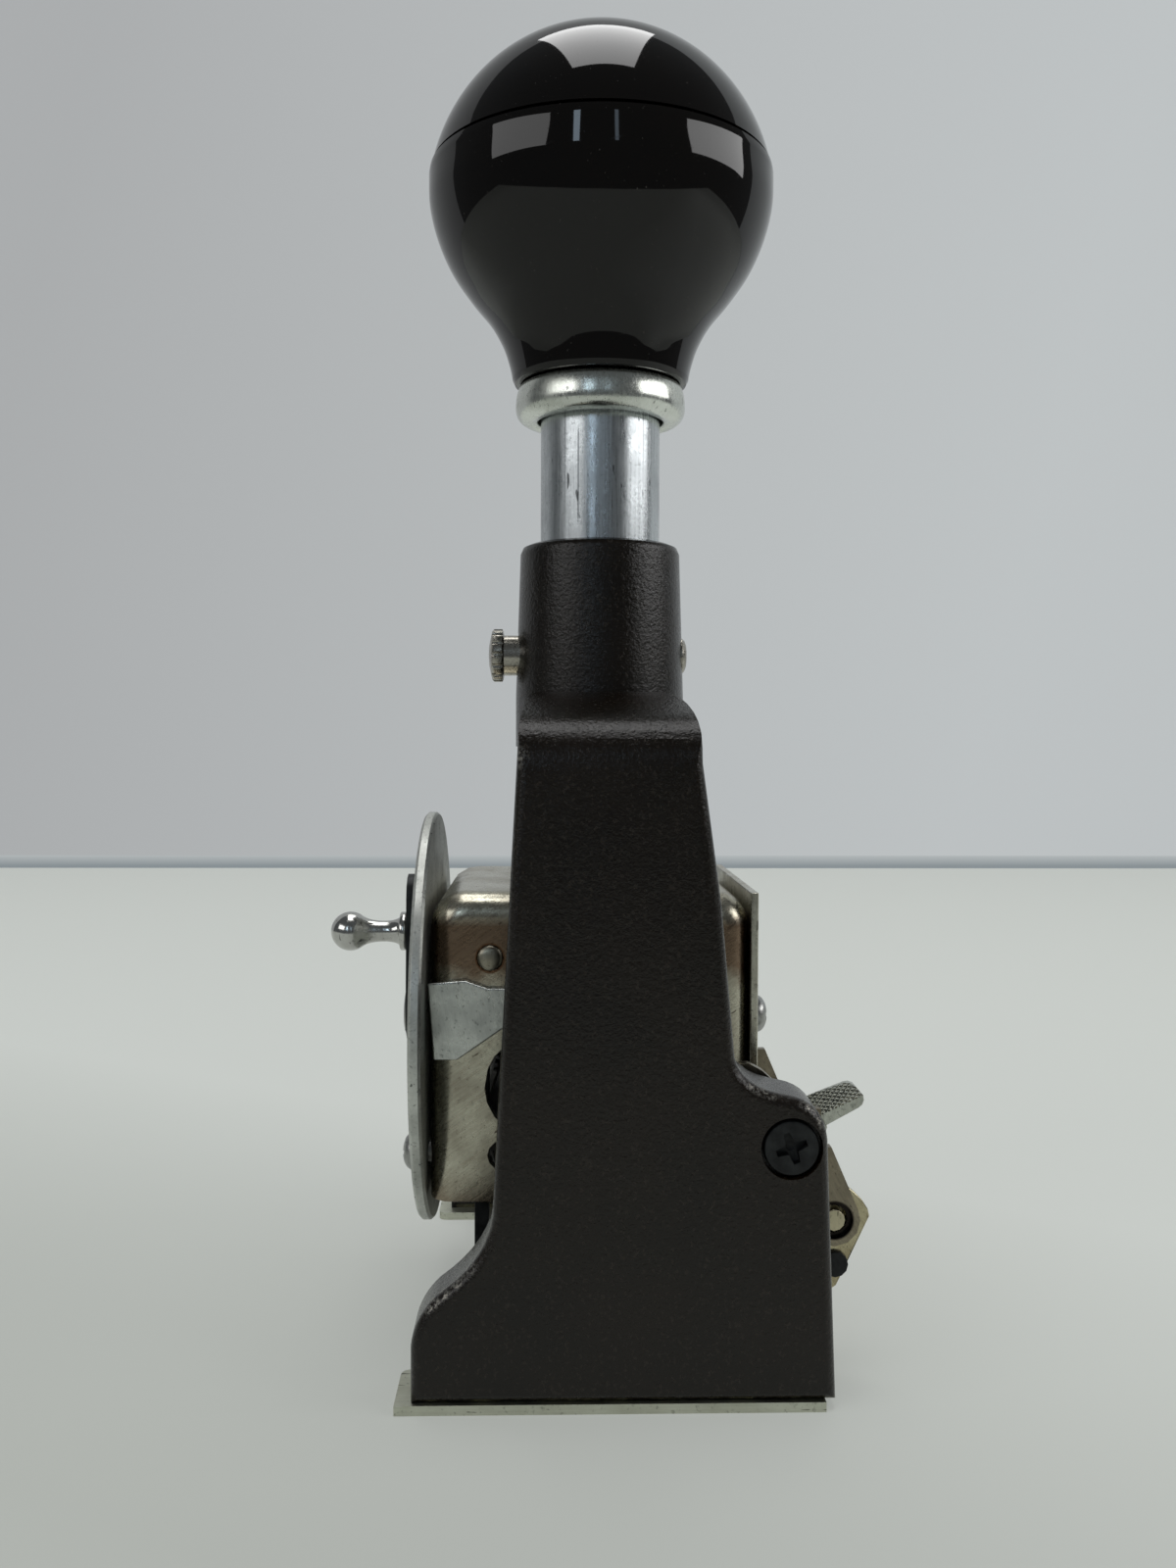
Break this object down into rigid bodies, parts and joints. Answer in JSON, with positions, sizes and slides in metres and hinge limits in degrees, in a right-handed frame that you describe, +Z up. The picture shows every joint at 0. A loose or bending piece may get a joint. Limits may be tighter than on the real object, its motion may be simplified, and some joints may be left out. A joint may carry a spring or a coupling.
{
  "type": "hand numbering machine",
  "caption": "Hand numbering machine: cast arch on a base plate, sprung head with number wheels, dial lever, round knob, lock pin and an ink pad that swings clear.",
  "frame": {"origin": "on the table, under the middle of the machine's bounding box", "axes": "+Z up along the plunger, -Y toward the dial side, +Y toward the ink pad side, X across the two legs"},
  "size_m": [0.0604, 0.0566, 0.1405],
  "materials": {
    "enamel": "dark brown fine-textured enamel",
    "plastic": "polished dark brown",
    "aluminium": "turned satin",
    "nickel": "tarnished nickel plate",
    "steel": "bright zinc plate",
    "black": "black oxide",
    "plate": "plated strip",
    "felt": "inked felt"
  },
  "bodies": {
    "stand": {"base_plate": "plate", "base_screw_front_left": "steel", "base_screw_front_right": "steel", "base_screw_rear_left": "steel", "base_screw_rear_right": "steel", "frame": "enamel", "arm_screw_left": "black", "arm_screw_right": "black", "spring_seat": "steel"},
    "head": {"return_spring": "steel", "plunger_tube": "aluminium", "collar": "aluminium", "knob_body": "plastic", "knob_cap": "plastic", "head_case": "nickel", "head_nut": "steel", "guide_block_left": "steel", "guide_block_right": "steel", "side_ear_left": "steel", "side_ear_right": "steel", "dial_plate": "aluminium", "dial_screw_left": "steel", "dial_screw_right": "steel", "rear_cover": "nickel", "rear_screw_left": "steel", "rear_screw_right": "steel", "wheel_axle": "steel", "axle_clip_left": "black", "axle_clip_right": "black", "axle_spacer_left": "steel", "axle_spacer_right": "steel", "detent_shaft": "steel", "drive_pin_left": "steel", "drive_pin_right": "steel"},
    "lock_pin": {"lock_pin": "nickel"},
    "dial_hand": {"dial_pointer": "black", "dial_pivot_screw": "steel", "dial_ball": "aluminium"},
    "ink_arms": {"ink_arm_left": "nickel", "ink_arm_right": "nickel", "arm_rivet_left": "nickel", "arm_rivet_right": "nickel", "thumb_tab": "steel"},
    "ink_tray": {"ink_tray": "nickel", "ink_pad": "felt", "tray_stud_left": "black", "tray_stud_right": "black"},
    "swing_frame": {"swing_frame": "steel", "drive_shaft": "steel"},
    "drive_comb": {"drive_comb": "steel"},
    "detent_comb": {"detent_comb": "steel"},
    "trip_lever": {"trip_lever": "black"},
    "wheel_1": {"number_wheel_1": "steel"},
    "wheel_2": {"number_wheel_2": "steel"},
    "wheel_3": {"number_wheel_3": "steel"},
    "wheel_4": {"number_wheel_4": "steel"},
    "wheel_5": {"number_wheel_5": "steel"},
    "wheel_6": {"number_wheel_6": "steel"}
  },
  "joints": [
    {"name": "press", "type": "slide", "parent": "stand", "child": "head", "axis": [0, 0, -1], "range_m": [0, 0.0088], "stiffness_N_per_m": 500, "springref_m": -0.014, "deforming": ["return_spring"]},
    {"name": "lock", "type": "slide", "parent": "stand", "child": "lock_pin", "axis": [0, 1, 0], "range_m": [0, 0.0013]},
    {"name": "dial_turn", "type": "hinge", "parent": "head", "child": "dial_hand", "pos_m": [0, -0.01755, 0.0318], "axis": [0, 1, 0], "range_deg": [-60, 60]},
    {"name": "arm_swing", "type": "hinge", "parent": "stand", "child": "ink_arms", "pos_m": [0, 0.01885, 0.0248], "axis": [1, 0, 0], "range_deg": [0, 85]},
    {"name": "tray_tilt", "type": "hinge", "parent": "ink_arms", "child": "ink_tray", "pos_m": [0, 0.02445, 0.0153], "axis": [-1, 0, 0], "range_deg": [0, 40]},
    {"name": "drive_swing", "type": "hinge", "parent": "head", "child": "swing_frame", "pos_m": [0, 0.00185, 0.0216], "axis": [-1, 0, 0], "range_deg": [0, 12]},
    {"name": "drive_lift", "type": "hinge", "parent": "swing_frame", "child": "drive_comb", "pos_m": [0, 0.00635, 0.0372], "axis": [1, 0, 0], "range_deg": [0, 6]},
    {"name": "detent_lift", "type": "hinge", "parent": "head", "child": "detent_comb", "pos_m": [0, -0.00975, 0.0404], "axis": [1, 0, 0], "range_deg": [0, 4]},
    {"name": "trip_swing", "type": "hinge", "parent": "head", "child": "trip_lever", "pos_m": [0, -0.00975, 0.0404], "axis": [-1, 0, 0], "range_deg": [0, 4]},
    {"name": "wheel_1_turn", "type": "hinge", "parent": "head", "child": "wheel_1", "pos_m": [0, 0.00185, 0.0216], "axis": [1, 0, 0], "continuous": true},
    {"name": "wheel_2_turn", "type": "hinge", "parent": "head", "child": "wheel_2", "pos_m": [0, 0.00185, 0.0216], "axis": [1, 0, 0], "continuous": true},
    {"name": "wheel_3_turn", "type": "hinge", "parent": "head", "child": "wheel_3", "pos_m": [0, 0.00185, 0.0216], "axis": [1, 0, 0], "continuous": true},
    {"name": "wheel_4_turn", "type": "hinge", "parent": "head", "child": "wheel_4", "pos_m": [0, 0.00185, 0.0216], "axis": [1, 0, 0], "continuous": true},
    {"name": "wheel_5_turn", "type": "hinge", "parent": "head", "child": "wheel_5", "pos_m": [0, 0.00185, 0.0216], "axis": [1, 0, 0], "continuous": true},
    {"name": "wheel_6_turn", "type": "hinge", "parent": "head", "child": "wheel_6", "pos_m": [0, 0.00185, 0.0216], "axis": [1, 0, 0], "continuous": true}
  ],
  "couplings": [
    {"joint": "arm_swing", "follows": "press", "rad_per_m": 168.58},
    {"joint": "tray_tilt", "follows": "press", "rad_per_m": 79.33},
    {"joint": "drive_swing", "follows": "press", "rad_per_m": 23.79}
  ]
}
